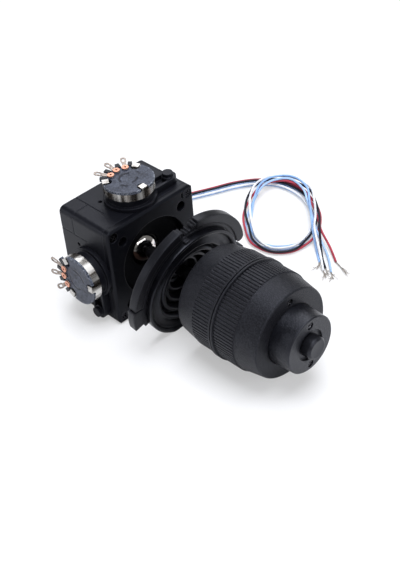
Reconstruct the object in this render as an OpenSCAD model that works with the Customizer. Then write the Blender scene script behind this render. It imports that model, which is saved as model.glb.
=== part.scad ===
// Industrial hand joystick, lying on its side.
// +X runs along the stick from the front plate to the push button, +Z is up,
// and the origin is where the stick's centre line crosses the front plate's face.

/* [Housing] */
// Side of the square housing
body_side = 44; // [42:1:52]
// Thickness of the housing's walls
wall = 2.4; // [2:0.2:3]
// Radius of the housing's four long corners
corner_r = 2.4; // [2:0.2:4]
// Thickness of the front plate
plate_t = 3; // [2.4:0.2:4]
// Bevel round the front plate's face
plate_bevel = 0.8; // [0.4:0.1:1.2]
// Radius of the round opening in the front plate
mouth_r = 16.3; // [15:0.1:17]
// Thickness of the rear cover
cover_t = 2; // [1.6:0.2:2.4]
// Clearance between the swinging yokes and the rear cover
cover_gap = 0.65; // [0.4:0.05:1.2]

/* [Panel fixing] */
// Distance between the mounting holes, both ways
mount_pitch = 30; // [29:0.5:31]
// Radius of a mounting hole
mount_hole_r = 2.1; // [1.6:0.1:2.2]
// Depth of a mounting hole behind the front face
mount_hole_depth = 10; // [8:0.5:12]
// Distance between the corner screws, both ways
screw_pitch = 38; // [37:0.5:38.4]

/* [Pivot] */
// Distance of the pivot behind the front face
pivot_depth = 11.3; // [11:0.1:12]
// Radius of the swivel ball
ball_r = 8.4; // [8.2:0.1:8.6]
// Radius of the hollow stem
stem_r = 2.5; // [2.2:0.1:2.6]
// Radius of the wire channel in the stem
stem_bore_r = 1.4; // [1:0.1:1.5]
// Radius of the stem's tail in the yoke slots
tail_r = 1.5; // [1.3:0.1:1.6]
// Largest tilt of the stick each way, in degrees
tilt_max = 18; // [10:1:18]

/* [Potentiometers] */
// Radius of a potentiometer's can
can_r = 10; // [9.6:0.1:10.6]
// Height of a potentiometer's can
can_h = 3.1; // [2.6:0.1:3.6]
// Thickness of the terminal wafer
wafer_t = 1; // [0.8:0.1:1.4]
// Height of the hub that lifts the can off the housing
hub_h = 4.9; // [4.4:0.1:5.6]
// Reach of a solder lug from the potentiometer's axis
lug_reach = 13.8; // [13:0.2:15]

/* [Boot and clamp ring] */
// Distance of the clamp ring in front of the housing
ring_x = 17; // [16:0.5:20]
// Forward lean of the clamp ring's top, in degrees
ring_lean = 9.1; // [6:0.1:10]
// Sag of the boot and its ring below the stick's centre line
ring_sag = 0.7; // [0:0.1:1]
// Sideways offset of the boot and its ring towards the side potentiometer
ring_shift = 0.8; // [0:0.1:1]
// Outer radius of the clamp ring
ring_r = 28.6; // [27:0.2:30]
// Thickness of the clamp ring
ring_t = 3.4; // [3:0.2:4]
// Width of the clamp ring outside the boot's bead
ring_w = 5.6; // [5.2:0.1:6]
// Wall thickness of the boot
boot_wall = 0.9; // [0.7:0.1:1.1]

/* [Grip] */
// Distance of the grip's back edge in front of the housing
grip_x = 31.5; // [31:0.5:34]
// Length of the lower grip half
lower_len = 18.1; // [17:0.1:20]
// Length of the upper grip half
upper_len = 19.9; // [19:0.1:22]
// Gap between the two grip halves
split_gap = 0.5; // [0.4:0.1:0.8]
// Radius of the lips beside the split
lip_r = 20.4; // [20:0.1:21]
// Radius of the back edge
grip_back_r = 18.4; // [18:0.1:19]
// Radius of the front edge
grip_front_r = 18; // [17.5:0.1:18.5]
// Number of ridges round each ridged band
ridges = 90; // [60:2:96]
// Depth of the grooves between the ridges
ridge_h = 0.35; // [0.2:0.05:0.5]
// Turn of each grip half either way, in degrees
twist_max = 30; // [15:5:35]

/* [End cap and button] */
// Radius of the end cap at its base
cap_r = 11.8; // [11.4:0.1:12]
// Length of the end cap in front of the grip
cap_len = 9.1; // [8:0.1:11]
// Radius of the push button
button_r = 3.2; // [2.8:0.1:3.4]
// Height of the push button above the end cap
button_h = 3.4; // [2.6:0.1:4]
// Travel of the push button
button_travel = 1; // [0.6:0.1:1.2]

/* [Wires] */
// Diameter of one insulated wire
wire_d = 1; // [0.8:0.1:1]
// Length of the stripped and tinned end of a wire
strip_len = 5; // [4:0.5:6]

/* [Hidden] */
$fn = 64;

// Small amount by which a cutter runs past a face
eps = 0.05;
// Radial clearance of a running fit
run_gap = 0.05;
// Clearance between pieces that only sit side by side
seat_gap = 0.1;
half = body_side / 2;
inner = half - wall;
// Outer radius of the ball's socket, which the yokes swing behind
socket_r = ball_r + 1.8;
retainer_r = ball_r + 1;
yoke_t = 1.4;
// Gap between the two yokes, which swing one behind the other
yoke_gap = 0.35;
yoke_top_r = socket_r + 0.7;
yoke_side_r = yoke_top_r + yoke_t + yoke_gap;
yoke_room = yoke_side_r + yoke_t;
// Depth of the housing, front plate included
body_depth = pivot_depth + yoke_room + cover_gap + cover_t;
back_x = -body_depth;
pivot = [-pivot_depth, 0, 0];
floor_z = -half;
// Outer radius of the boot's bead, which the clamp ring goes round
bead_r = ring_r - ring_w;

black_plastic = [0.05, 0.05, 0.055];
grey_plastic = [0.16, 0.16, 0.17];
soft_black = [0.03, 0.03, 0.03];
nickel = [0.78, 0.76, 0.72];
steel = [0.6, 0.6, 0.62];
wafer_blue = [0.36, 0.38, 0.43];
copper = [0.85, 0.55, 0.42];

// ---------- shared shapes ----------

// Puts a child that is built along +Z at x, along +X
module along_x(x) {
  translate([x, 0, 0]) rotate([0, 90, 0]) children();
}

// Frame of the upper potentiometer: +Z outwards, the shaft's axis through the pivot
module top_frame() {
  translate(pivot) children();
}

// Frame of the side potentiometer: the child's +Z points to -Y
module side_frame() {
  translate(pivot) rotate([90, 0, 0]) children();
}

// Frame of the leaning clamp ring: the child's +Z runs along the ring's axis
module ring_frame() {
  translate([ring_x, -ring_shift, -ring_sag]) rotate([0, 90 + ring_lean, 0]) children();
}

module rounded_square(side, r) {
  square([side - 2 * r, side], center = true);
  square([side, side - 2 * r], center = true);
  for (x = [-1, 1], y = [-1, 1]) {
    translate([x * (side / 2 - r), y * (side / 2 - r)]) circle(r);
  }
}

module rounded_block(side, r, length) {
  linear_extrude(length) rounded_square(side, r);
}

module tube(outer_r, bore_r, length) {
  difference() {
    cylinder(r = outer_r, h = length);
    translate([0, 0, -eps]) cylinder(r = bore_r, h = length + 2 * eps);
  }
}

// Bar of a ring about +Z. Angles are clock positions on the ring: 0 is +Y, 90 is +Z
module ring_bar(r_in, r_out, z0, z1, from, to) {
  rotate([0, 0, from + 90]) rotate_extrude(angle = to - from) {
    translate([r_in, z0]) square([r_out - r_in, z1 - z0]);
  }
}

// Screw with a cross recess; the head's face is at z = 0 and the shank runs to -z
module cross_screw(head_r, head_h, shank_r, length) {
  slot_w = head_r * 0.32;
  slot_l = head_r * 1.3;
  difference() {
    union() {
      translate([0, 0, -head_h]) cylinder(r = head_r, h = head_h);
      translate([0, 0, -length]) cylinder(r = shank_r, h = length - head_h + eps);
    }
    for (a = [0, 90]) {
      rotate([0, 0, a + 45]) translate([-slot_l / 2, -slot_w / 2, -head_h * 0.6]) {
        cube([slot_l, slot_w, head_h]);
      }
    }
  }
}

// ---------- sweep for springs and wires ----------

function unit(v) = v / norm(v);

// Tube of n sides along a list of points, closed by flat ends
function tangent(path, i) =
  unit(path[min(i + 1, len(path) - 1)] - path[max(i - 1, 0)]);
function side_of(t) = abs(t[2]) > 0.9 ? unit(cross(t, [1, 0, 0])) : unit(cross(t, [0, 0, 1]));

module sweep(path, r, sides) {
  rings = len(path);
  points = [
    for (i = [0:rings - 1])
      let (t = tangent(path, i), u = side_of(t), v = cross(t, u))
        for (k = [0:sides - 1])
          let (a = 360 * k / sides)
            path[i] + r * (cos(a) * u + sin(a) * v)
  ];
  walls = [
    for (i = [0:rings - 2], k = [0:sides - 1])
      let (n = (k + 1) % sides)
        each [
          [i * sides + k, i * sides + n, (i + 1) * sides + n],
          [i * sides + k, (i + 1) * sides + n, (i + 1) * sides + k]
        ]
  ];
  near_end = [[for (k = [0:sides - 1]) sides - 1 - k]];
  far_end = [[for (k = [0:sides - 1]) (rings - 1) * sides + k]];
  polyhedron(points, concat(walls, near_end, far_end));
}

// ---------- housing ----------

front_screw_r = 1.3;
front_screw_head_r = 1.9;
front_screw_head_h = 1.1;
front_screw_len = 12;
front_screw_sink = 0.3;
post_side = 8;
post_len = 12;
wall_hole_r = 5;
cavity_back = back_x + cover_t;
plate_back = -plate_t;
locating_hole_r = 0.8;
seam_w = 0.25;
seam_depth = 0.2;
cover_pitch = 2 * inner - 6;
rear_post_side = 6;
cover_screw_r = 1;
bush_y = 7;
bush_z = -13;
bush_hole_r = 3.4;
bush_flange_t = 1.2;

module corner_posts(side, x, length) {
  for (y = [-1, 1], z = [-1, 1]) {
    translate([x, y * (inner - side / 2 + eps / 2), z * (inner - side / 2 + eps / 2)]) {
      translate([0, -side / 2 - eps / 2, -side / 2 - eps / 2]) cube([length, side + eps, side + eps]);
    }
  }
}

// Parting lines of the mould's corner insert, on the top and the side
module mould_seams() {
  line_y = -13.8;
  line_z = 12.6;
  line_x = -20.6;
  line_end = -11;
  translate([back_x - eps, line_y, half - seam_depth]) {
    cube([line_end - back_x, seam_w, wall]);
  }
  translate([back_x - eps, -half - wall + seam_depth, line_z]) {
    cube([line_end - back_x - 1.8, wall, seam_w]);
  }
  translate([line_x, -half - eps, half - seam_depth]) {
    cube([seam_w, half + line_y, wall]);
  }
  translate([line_x, -half - wall + seam_depth, line_z]) {
    cube([seam_w, wall, half - line_z + eps]);
  }
}

module housing_body() {
  color(black_plastic) difference() {
    union() {
      difference() {
        along_x(back_x) rounded_block(body_side, corner_r, body_depth - plate_t);
        along_x(back_x - eps) {
          linear_extrude(body_depth) square(2 * inner, center = true);
        }
      }
      corner_posts(post_side, plate_back - post_len, post_len);
      corner_posts(rear_post_side, cavity_back, body_depth - cover_t - plate_t - post_len + eps);
    }
    top_frame() cylinder(r = wall_hole_r, h = body_side, center = true);
    side_frame() cylinder(r = wall_hole_r, h = body_side, center = true);
    along_x(-mount_hole_depth) at_plane_corners(mount_pitch) {
      cylinder(r = mount_hole_r, h = mount_hole_depth);
    }
    along_x(-front_screw_len) at_plane_corners(screw_pitch) {
      cylinder(r = front_screw_r, h = front_screw_len);
    }
    along_x(back_x) at_plane_corners(cover_pitch) {
      cylinder(r = cover_screw_r, h = 8);
    }
    along_x(plate_back - socket_flange_t - seat_gap) cylinder(r = guard_r + seat_gap, h = body_depth);
    translate([-18.3, -9.3, half - wall - eps]) cylinder(r = locating_hole_r, h = 2 * wall);
    translate([-18.5, -half - wall, 9]) rotate([-90, 0, 0]) {
      cylinder(r = locating_hole_r, h = 2 * wall + eps);
    }
    mould_seams();
  }
}

// Corners of a square pattern in the plane that along_x() turns to face +X
module at_plane_corners(pitch) {
  for (x = [-1, 1], y = [-1, 1]) {
    translate([x * pitch / 2, y * pitch / 2, 0]) children();
  }
}

module bevel_cutters() {
  long = 2 * body_side;
  for (a = [0:90:270]) {
    rotate([a, 0, 0]) translate([-plate_bevel, -long / 2, half]) rotate([0, 45, 0]) {
      cube([long / 4, long, long / 4]);
    }
  }
}

module front_plate() {
  slit_w = 0.7;
  slit_h = 2.4;
  color(black_plastic) difference() {
    along_x(plate_back) rounded_block(body_side, corner_r, plate_t);
    along_x(plate_back - eps) cylinder(r = mouth_r, h = plate_t + 2 * eps, $fn = 96);
    along_x(plate_back - eps) at_plane_corners(mount_pitch) {
      cylinder(r = mount_hole_r, h = plate_t + 2 * eps);
    }
    along_x(plate_back - eps) at_plane_corners(screw_pitch) {
      cylinder(r = front_screw_r, h = plate_t + 2 * eps);
      translate([0, 0, plate_t + eps - front_screw_sink - front_screw_head_h]) {
        cylinder(r = front_screw_head_r + seat_gap, h = plate_t);
      }
    }
    translate([-1, 15.8, 18]) cube([2, slit_w, slit_h]);
    bevel_cutters();
  }
}

module front_screws() {
  color(steel) along_x(-front_screw_sink) at_plane_corners(screw_pitch) {
    cross_screw(front_screw_head_r, front_screw_head_h, front_screw_r - 0.02, front_screw_len - 1.2);
  }
}

module rear_cover() {
  color(black_plastic) difference() {
    along_x(back_x) linear_extrude(cover_t - eps) square(2 * (inner - seat_gap), center = true);
    along_x(back_x - eps) at_plane_corners(cover_pitch) {
      cylinder(r = cover_screw_r + 0.2, h = cover_t + 1);
      cylinder(r = 2.2, h = 1);
    }
    translate([back_x - eps, bush_y, bush_z]) rotate([0, 90, 0]) {
      cylinder(r = bush_hole_r, h = cover_t + 1);
    }
  }
}

module rear_screws() {
  color(steel) translate([back_x, 0, 0]) rotate([0, -90, 0]) at_plane_corners(cover_pitch) {
    translate([0, 0, -0.1]) cross_screw(2, 0.8, cover_screw_r - 0.02, 7);
  }
}

// Grommet moulded round the five wires where they leave the rear cover
module wire_bush() {
  color(soft_black) translate([back_x, bush_y, bush_z]) rotate([0, 90, 0]) {
    translate([0, 0, -bush_flange_t]) cylinder(r = bush_hole_r + 1.2, h = bush_flange_t - eps);
    translate([0, 0, -0.1]) cylinder(r = bush_hole_r - run_gap, h = cover_t + 0.1);
  }
}

// ---------- ball socket ----------

seat_r = ball_r + run_gap;
aperture_front = 5.2;
aperture_back = 5.6;
dish_depth = 2.6;
socket_flange_t = 1.4;
guard_r = mouth_r + 2.4;

// Dished guard behind the front plate; its hub is the front half of the ball's seat
module socket_front() {
  color(soft_black) difference() {
    union() {
      along_x(plate_back - socket_flange_t) {
        tube(guard_r, mouth_r - 1, socket_flange_t - eps);
      }
      along_x(0) rotate_extrude($fn = 96) polygon([
        [mouth_r - 0.8, plate_back - socket_flange_t],
        [mouth_r - 0.8, plate_back - eps],
        [mouth_r - 1.6, plate_back - eps],
        [8, plate_back - dish_depth],
        [5, plate_back - dish_depth - 0.6],
        [5, plate_back - dish_depth - 2],
        [socket_r, plate_back - dish_depth - 2.2]
      ]);
      along_x(-pivot_depth) tube(socket_r, retainer_r, pivot_depth - plate_t - dish_depth - 1);
      along_x(-pivot_depth - 4) intersection() {
        tube(socket_r, retainer_r, 4 + eps);
        translate([0, 0, 4]) sphere(r = socket_r + 0.1, $fn = 96);
      }
      along_x(-pivot_depth + 0.4) cylinder(r = retainer_r + eps, h = pivot_depth - plate_t - dish_depth - 1.6);
    }
    translate(pivot) sphere(r = seat_r, $fn = 96);
    along_x(-pivot_depth + aperture_front) cylinder(r = 6.7, h = 20);
  }
}

// Ring that closes the ball's seat from behind
module socket_retainer() {
  depth = aperture_back;
  color(grey_plastic) translate(pivot) difference() {
    intersection() {
      along_x(-depth) cylinder(r = retainer_r - run_gap, h = depth + 0.3);
      sphere(r = socket_r, $fn = 96);
    }
    sphere(r = seat_r, $fn = 96);
  }
}

// ---------- potentiometers ----------

trunnion_r = 3;
trunnion_bore = trunnion_r + run_gap;
pot_shaft_r = 1.5;
hub_base_r = can_r + 0.4;
hub_neck_r = can_r - 1;
post_r = 2.1;
post_x = 3.2;
post_y = 16.8;
can_z = half + hub_h;
wafer_z = can_z + can_h;
tab_count = 3;
tab_w = 2.7;
lug_angle = 31;
lug_r = 6.9;
top_pot_turn = -2;
side_pot_turn = 4;
top_lug_rise = 4;
side_lug_rise = 14;

// Hub with its bearing spigot, a side arm and the round post
module pot_hub() {
  arm_h = 2.9;
  arm_w = 6.6;
  rim = 1;
  color(black_plastic) difference() {
    union() {
      translate([0, 0, inner]) cylinder(r = wall_hole_r - run_gap, h = wall + eps);
      translate([0, 0, half]) cylinder(r = hub_base_r, h = 1.7);
      translate([0, 0, half]) cylinder(r = hub_neck_r, h = hub_h - eps);
      translate([post_x - arm_w / 2, 0, half]) cube([arm_w, post_y, arm_h]);
      translate([post_x, post_y, half]) cylinder(r = arm_w / 2, h = arm_h);
      translate([post_x, post_y, half]) cylinder(r = post_r, h = arm_h + 1.6);
    }
    translate([0, 0, inner - 1]) cylinder(r = trunnion_bore, h = hub_h + wall + 2);
    difference() {
      translate([post_x - arm_w / 2 + rim, hub_neck_r, half + 1]) {
        cube([arm_w - 2 * rim, post_y - hub_neck_r + 1, arm_h]);
      }
      translate([post_x, post_y, half]) cylinder(r = post_r + 0.3, h = arm_h + 2);
    }
  }
}

// Drawn can with its folded tabs
module pot_can() {
  sheet = 0.4;
  tab_t = 0.35;
  tab_reach = 2.6;
  color(nickel) difference() {
    union() {
      difference() {
        translate([0, 0, can_z]) cylinder(r = can_r, h = can_h - 0.02, $fn = 96);
        translate([0, 0, can_z + sheet]) cylinder(r = can_r - sheet, h = can_h, $fn = 96);
      }
      for (a = [0:tab_count - 1]) {
        rotate([0, 0, a * 360 / tab_count]) {
          translate([can_r - sheet - 0.1, -tab_w / 2, wafer_z - 1]) {
            cube([sheet, tab_w, wafer_t + 1 + tab_t]);
          }
          translate([can_r - tab_reach, -tab_w / 2, wafer_z + wafer_t + 0.02]) {
            cube([tab_reach - 0.2, tab_w, tab_t]);
          }
        }
      }
    }
    translate([0, 0, can_z - 1]) cylinder(r = trunnion_r + 0.3, h = 3);
  }
}

// Plan of the raised teeth between the lugs
module wafer_teeth() {
  tooth_w = 1.6;
  for (a = [-44, -15.5, 15.5, 44]) {
    rotate(180 + a) translate([can_r - 1.8, -tooth_w / 2]) square([2.6, tooth_w]);
  }
}

// Laminate wafer with notches for the tabs and teeth between the lugs
module pot_wafer() {
  notch_w = tab_w + 1;
  relief_r = can_r - 1.4;
  color(wafer_blue) translate([0, 0, wafer_z]) {
    linear_extrude(wafer_t) difference() {
      union() {
        difference() {
          circle(can_r + 0.1, $fn = 96);
          for (a = [0:tab_count - 1]) {
            rotate(a * 360 / tab_count) translate([can_r - 2, -notch_w / 2]) square([4, notch_w]);
            rotate(a * 360 / tab_count) translate([can_r - 2, 0]) circle(notch_w / 2);
          }
          for (k = [-1, 0, 1]) {
            rotate(180 + k * lug_angle) translate([relief_r, -1.6]) square([4, 3.2]);
          }
        }
        wafer_teeth();
      }
      for (k = [-1, 0, 1]) {
        rotate(180 + k * lug_angle) translate([lug_r, 0]) circle(0.9);
      }
    }
    translate([0, 0, wafer_t - eps]) linear_extrude(0.5 + eps) wafer_teeth();
  }
}

// Three tinned solder lugs fanned out over the wafer's edge
module pot_lugs(rise) {
  lug_t = 0.35;
  lug_w = 1.7;
  eye_w = 2.5;
  bend_at = 1.6;
  strap = lug_reach - lug_r - bend_at;
  color(nickel) for (k = [-1, 0, 1]) {
    rotate([0, 0, 180 + k * lug_angle]) translate([lug_r, 0, wafer_z + wafer_t + 0.02]) {
      linear_extrude(lug_t) difference() {
        union() {
          circle(eye_w / 2);
          translate([0, -lug_w / 2]) square([bend_at + 0.1, lug_w]);
        }
        circle(0.95);
      }
      translate([bend_at, 0, 0]) rotate([0, -rise, 0]) linear_extrude(lug_t) difference() {
        union() {
          translate([0, -lug_w / 2]) square([strap - eye_w / 2, lug_w]);
          for (x = [2.2, 1.1]) {
            translate([strap - x, 0]) circle(eye_w / 2 - 0.1);
          }
        }
        for (x = [2.3, 1.8, 1.3]) {
          translate([strap - x, 0]) circle(0.55);
        }
      }
    }
  }
}

// Rolled copper eyelets that hold the lugs to the wafer
module pot_eyelets() {
  color(copper) for (k = [-1, 0, 1]) {
    rotate([0, 0, 180 + k * lug_angle]) translate([lug_r, 0, wafer_z]) {
      difference() {
        union() {
          cylinder(r = 0.85, h = wafer_t + 0.75);
          translate([0, 0, wafer_t + 0.4]) cylinder(r = 1.35, h = 0.35);
        }
        translate([0, 0, -eps]) cylinder(r = 0.45, h = wafer_t + 2);
      }
    }
  }
}

// Shaft and wiper disc that turn with a yoke
module pot_rotor() {
  color(grey_plastic) {
    translate([0, 0, half - 2]) cylinder(r = pot_shaft_r, h = can_z + 0.6 - half + 2);
    translate([0, 0, can_z + 0.6]) cylinder(r = can_r - 1.8, h = 1.2);
    for (a = [60, -60]) {
      rotate([0, 0, a]) translate([6, -0.8, can_z + 1.6]) cube([2, 1.6, 0.9]);
    }
  }
}

module hub_top() { top_frame() pot_hub(); }
module pot_top_can() { top_frame() rotate([0, 0, top_pot_turn]) pot_can(); }
module pot_top_wafer() { top_frame() rotate([0, 0, top_pot_turn]) pot_wafer(); }
module pot_top_lugs() { top_frame() rotate([0, 0, top_pot_turn]) pot_lugs(top_lug_rise); }
module pot_top_eyelets() { top_frame() rotate([0, 0, top_pot_turn]) pot_eyelets(); }
module hub_side() { side_frame() mirror([0, 1, 0]) pot_hub(); }
module pot_side_can() { side_frame() rotate([0, 0, side_pot_turn]) pot_can(); }
module pot_side_wafer() { side_frame() rotate([0, 0, side_pot_turn]) pot_wafer(); }
module pot_side_lugs() { side_frame() rotate([0, 0, side_pot_turn]) pot_lugs(side_lug_rise); }
module pot_side_eyelets() { side_frame() rotate([0, 0, side_pot_turn]) pot_eyelets(); }
module pot_top_rotor() { top_frame() pot_rotor(); }
module pot_side_rotor() { side_frame() pot_rotor(); }

// ---------- yokes, bearings and springs ----------

yoke_w = 7.5;
slot_half = tail_r + 0.5;
slot_reach = 7.6;
boss_r = 3.75;
bearing_flange_r = 6;
bearing_flange_t = 1;
spring_wire = 0.5;
spring_r = 4.4;
spring_turns = 3;

// Half hoop behind the ball with a slot for the tail, in the XZ plane of its child frame
module yoke(hoop_r) {
  shaft_end = half + hub_h - 0.4;
  boss_end = hoop_r + yoke_t + 1.2;
  color(grey_plastic) difference() {
    union() {
      rotate([90, 0, 0]) rotate([0, 0, 90]) rotate_extrude(angle = 180, $fn = 96) {
        translate([hoop_r, -yoke_w / 2]) square([yoke_t, yoke_w]);
      }
      for (s = [-1, 1]) {
        rotate([s > 0 ? 0 : 180, 0, 0]) translate([0, 0, hoop_r + 0.2]) {
          cylinder(r = boss_r, h = boss_end - hoop_r - 0.2);
        }
      }
      translate([0, 0, hoop_r + 0.3]) cylinder(r = trunnion_r, h = shaft_end - hoop_r - 0.3);
      translate([0, 0, -half + 0.8]) cylinder(r = trunnion_r, h = half - 0.8 - hoop_r - 0.3);
    }
    translate([-2 * hoop_r, -slot_half, -slot_reach]) cube([2 * hoop_r, 2 * slot_half, 2 * slot_reach]);
    translate([0, 0, half - 2 - 0.3]) cylinder(r = pot_shaft_r + 0.02, h = 20);
  }
}

module yoke_top() { translate(pivot) yoke(yoke_top_r); }
module yoke_side() { translate(pivot) rotate([90, 0, 0]) yoke(yoke_side_r); }

// Blind bearing bush flush with the wall opposite a potentiometer
module bearing() {
  color(grey_plastic) difference() {
    union() {
      translate([0, 0, inner - bearing_flange_t]) cylinder(r = bearing_flange_r, h = bearing_flange_t - eps);
      translate([0, 0, inner - bearing_flange_t]) cylinder(r = wall_hole_r - run_gap, h = wall + bearing_flange_t);
    }
    translate([0, 0, inner - bearing_flange_t - 1]) cylinder(r = trunnion_bore, h = wall + 1.4);
  }
}

// Centring spring wound round the trunnion, one leg held behind the bearing's flange
module centring_spring(hoop_r) {
  z_start = hoop_r + yoke_t + 2;
  z_end = inner - bearing_flange_t - spring_wire / 2 - 0.2;
  steps_per_turn = 16;
  steps = spring_turns * steps_per_turn;
  coil = [
    for (i = [0:steps])
      let (a = 360 * i / steps_per_turn)
        [spring_r * cos(a), spring_r * sin(a), z_start + (z_end - z_start) * i / steps]
  ];
  color(steel) sweep(concat([[spring_r, -5, z_start]], coil, [[spring_r, 5, z_end]]), spring_wire / 2, 8);
}

module bearing_bottom() { translate(pivot) rotate([180, 0, 0]) bearing(); }
module bearing_far() { translate(pivot) rotate([-90, 0, 0]) bearing(); }
module spring_bottom() { translate(pivot) rotate([180, 0, 0]) centring_spring(yoke_top_r); }
module spring_far() { translate(pivot) rotate([-90, 0, 0]) centring_spring(yoke_side_r); }

// ---------- ball and stem ----------

tail_end = yoke_room - seat_gap;
stem_end = grip_x + lower_len + split_gap + upper_len - 3.9;

module swivel_ball() {
  color(nickel) translate(pivot) difference() {
    sphere(r = ball_r, $fn = 96);
    along_x(-ball_r - 1) cylinder(r = stem_r + 0.01, h = 2 * ball_r + 2);
  }
}

module stem() {
  color(soft_black) difference() {
    union() {
      along_x(-pivot_depth - ball_r + 0.4) cylinder(r = stem_r, h = pivot_depth + ball_r - 0.4 + stem_end);
      along_x(-pivot_depth - tail_end) cylinder(r = tail_r, h = tail_end);
    }
    along_x(-pivot_depth - ball_r + 1.4) cylinder(r = stem_bore_r, h = 200);
    along_x(-pivot_depth - tail_end - 1) cylinder(r = tail_r - 0.5, h = tail_end - ball_r + 3);
  }
}

// ---------- boot and clamp ring ----------

collar_in = bead_r + 0.05;
collar_out = bead_r + 1.8;
arc_in = collar_out + 0.05;
bead_h = 5.5;
neck_r = stem_r + 0.05;
collar_from = -11;
collar_to = 202;

// Folded rubber boot: outer bead, three round folds sinking towards the housing, and a neck
// on the stem. Its lower edge lies flat on the table.
module boot() {
  web = 2.6;
  neck_x = ring_x - 9.4;
  neck_len = 4.2;
  color(soft_black) difference() {
    union() {
      ring_frame() rotate_extrude($fn = 96) {
        translate([bead_r - 1.7, 1]) square([1.7, bead_h - 1]);
        polygon([
          [bead_r - 1.6, web + boot_wall], [18, web + boot_wall],
          [16.7, web + 0.8 + boot_wall], [15.4, web - 1.4 + boot_wall],
          [13.6, web - 0.2 + boot_wall], [12, web - 3.4 + boot_wall],
          [10.3, web - 2 + boot_wall], [8.6, web - 5.6 + boot_wall],
          [6.9, web - 4.4 + boot_wall], [4.6, -5.4], [1, -5.4], [1, -7], [4.9, -7],
          [6.9, web - 4.4], [8.6, web - 6.5], [10.3, web - 2], [12, web - 4.3],
          [13.6, web - 0.2], [15.4, web - 2.3], [16.7, web + 0.8], [18, web], [bead_r - 1.6, web]
        ]);
      }
      along_x(neck_x) cylinder(r = 4.4, h = neck_len);
    }
    translate([ring_x - ring_r, -ring_r, floor_z + 0.05 - ring_r]) {
      cube([2 * ring_r, 2 * ring_r, ring_r]);
    }
    along_x(0) cylinder(r = neck_r, h = ring_x);
  }
}

// Open collar round the boot's bead, with a foot at each end and the lock block
module clamp_collar() {
  color(black_plastic) ring_frame() {
    ring_bar(collar_in, collar_out, 0, ring_t - 0.3, collar_from, collar_to);
    ring_bar(collar_out - eps, ring_r + 0.6, 0, ring_t, 177, 196);
    ring_bar(collar_out - eps, ring_r, 0, ring_t, collar_from, -1);
    ring_bar(collar_in + 0.1, collar_in + 0.8, ring_t - 0.3 - eps, ring_t + 1.4, 97.4, 102.8);
  }
}

module clamp_arc_left() {
  color(black_plastic) ring_frame() {
    ring_bar(arc_in, ring_r, 0, ring_t, 104, 175.5);
    ring_bar(arc_in, ring_r - 0.8, 0, ring_t - 0.5, 101, 104.2);
  }
}

// Right arc of the clamp ring with its rounded end and the latch ridges at the top
module clamp_arc_right() {
  end_mid = (ring_r + arc_in) / 2;
  end_r = (ring_r - arc_in) / 2 - 0.05;
  tongue_r = ring_r - 2.8;
  color(black_plastic) ring_frame() {
    ring_bar(arc_in, ring_r, 0, ring_t, 12, 86);
    rotate([0, 0, 12 + 90]) translate([end_mid, 0, 0]) cylinder(r = end_r, h = ring_t);
    ring_bar(arc_in + 0.15, tongue_r, 0.6, ring_t - 0.6, 85.5, 99.2);
    ring_bar(arc_in + 0.2, tongue_r + 1.4, 0.4, ring_t - 0.4, 85.6, 91.6);
    for (tooth = [[87.9, 2.4], [90.2, 1.9], [94.4, 0.9], [97, 0.5]]) {
      ring_bar(arc_in + 0.3, tongue_r + tooth[1], 0.2, ring_t - 0.2, tooth[0], tooth[0] + 0.9);
    }
  }
}

// ---------- grip ----------

split_x = grip_x + lower_len;
upper_x = split_x + split_gap;
grip_end = upper_x + upper_len;
shell_t = 2.2;
lip_w = 0.7;
band_lower = 8.7;
band_upper = 9.8;
core_r = 6;
core_bore = core_r + run_gap;
core_end = grip_end - shell_t - 0.5;
core_flange_t = 2.6;
track_r = 15;
ridge_tip = lip_r - 0.55;

// Ridged outline: one flat-topped ridge and one groove per step
function ridge_outline(r_tip, depth, count) = [
  for (i = [0:count - 1])
    let (a = 360 / count)
      for (p = [[0.0, 0], [0.5, 0], [0.62, 1], [0.88, 1]])
        let (r = r_tip - depth * p[1])
          [r * cos(a * (i + p[0])), r * sin(a * (i + p[0]))]
];

module ridged_band(length) {
  linear_extrude(length) polygon(ridge_outline(ridge_tip, ridge_h, ridges));
}

// Lower half: smooth back band, ridged band and a lip beside the split
module lower_grip() {
  band_end = lower_len - lip_w;
  color(grey_plastic) along_x(grip_x) difference() {
    union() {
      rotate_extrude($fn = 96) polygon([
        [0, 0], [grip_back_r - 0.5, 0], [grip_back_r, 0.5],
        [ridge_tip - 0.15, band_lower + eps], [ridge_tip - ridge_h - 0.05, band_lower + eps],
        [ridge_tip - ridge_h - 0.05, band_end], [lip_r, band_end], [lip_r, lower_len], [0, lower_len]
      ]);
      translate([0, 0, band_lower]) ridged_band(band_end - band_lower + eps);
    }
    translate([0, 0, shell_t]) cylinder(r = grip_back_r - shell_t, h = lower_len);
    translate([0, 0, -1]) cylinder(r = core_bore, h = lower_len);
  }
}

// Upper half: a lip beside the split, ridged band, tapering smooth band and end face
module upper_grip() {
  band_start = lip_w + 0.4;
  band_end = band_start + band_upper - 0.5;
  color(grey_plastic) along_x(upper_x) difference() {
    union() {
      rotate_extrude($fn = 96) polygon([
        [0, 0], [lip_r, 0], [lip_r, lip_w], [ridge_tip - ridge_h - 0.3, band_start],
        [ridge_tip - ridge_h - 0.05, band_start], [ridge_tip - ridge_h - 0.05, band_end],
        [ridge_tip - ridge_h, band_end], [grip_front_r, upper_len - 0.5],
        [grip_front_r - 0.5, upper_len], [0, upper_len]
      ]);
      translate([0, 0, band_start]) ridged_band(band_end - band_start);
    }
    translate([0, 0, -1]) cylinder(r = grip_front_r - shell_t, h = upper_len - shell_t + 1);
    translate([0, 0, -1]) cylinder(r = cap_r + 0.2, h = upper_len + 2);
    for (s = [-1, 1]) {
      translate([s * end_screw_at, 0, upper_len - 1.2]) cylinder(r = 1.55, h = 3);
      translate([s * end_screw_at, 0, upper_len - 6]) cylinder(r = 0.82, h = 8);
    }
  }
}

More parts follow.
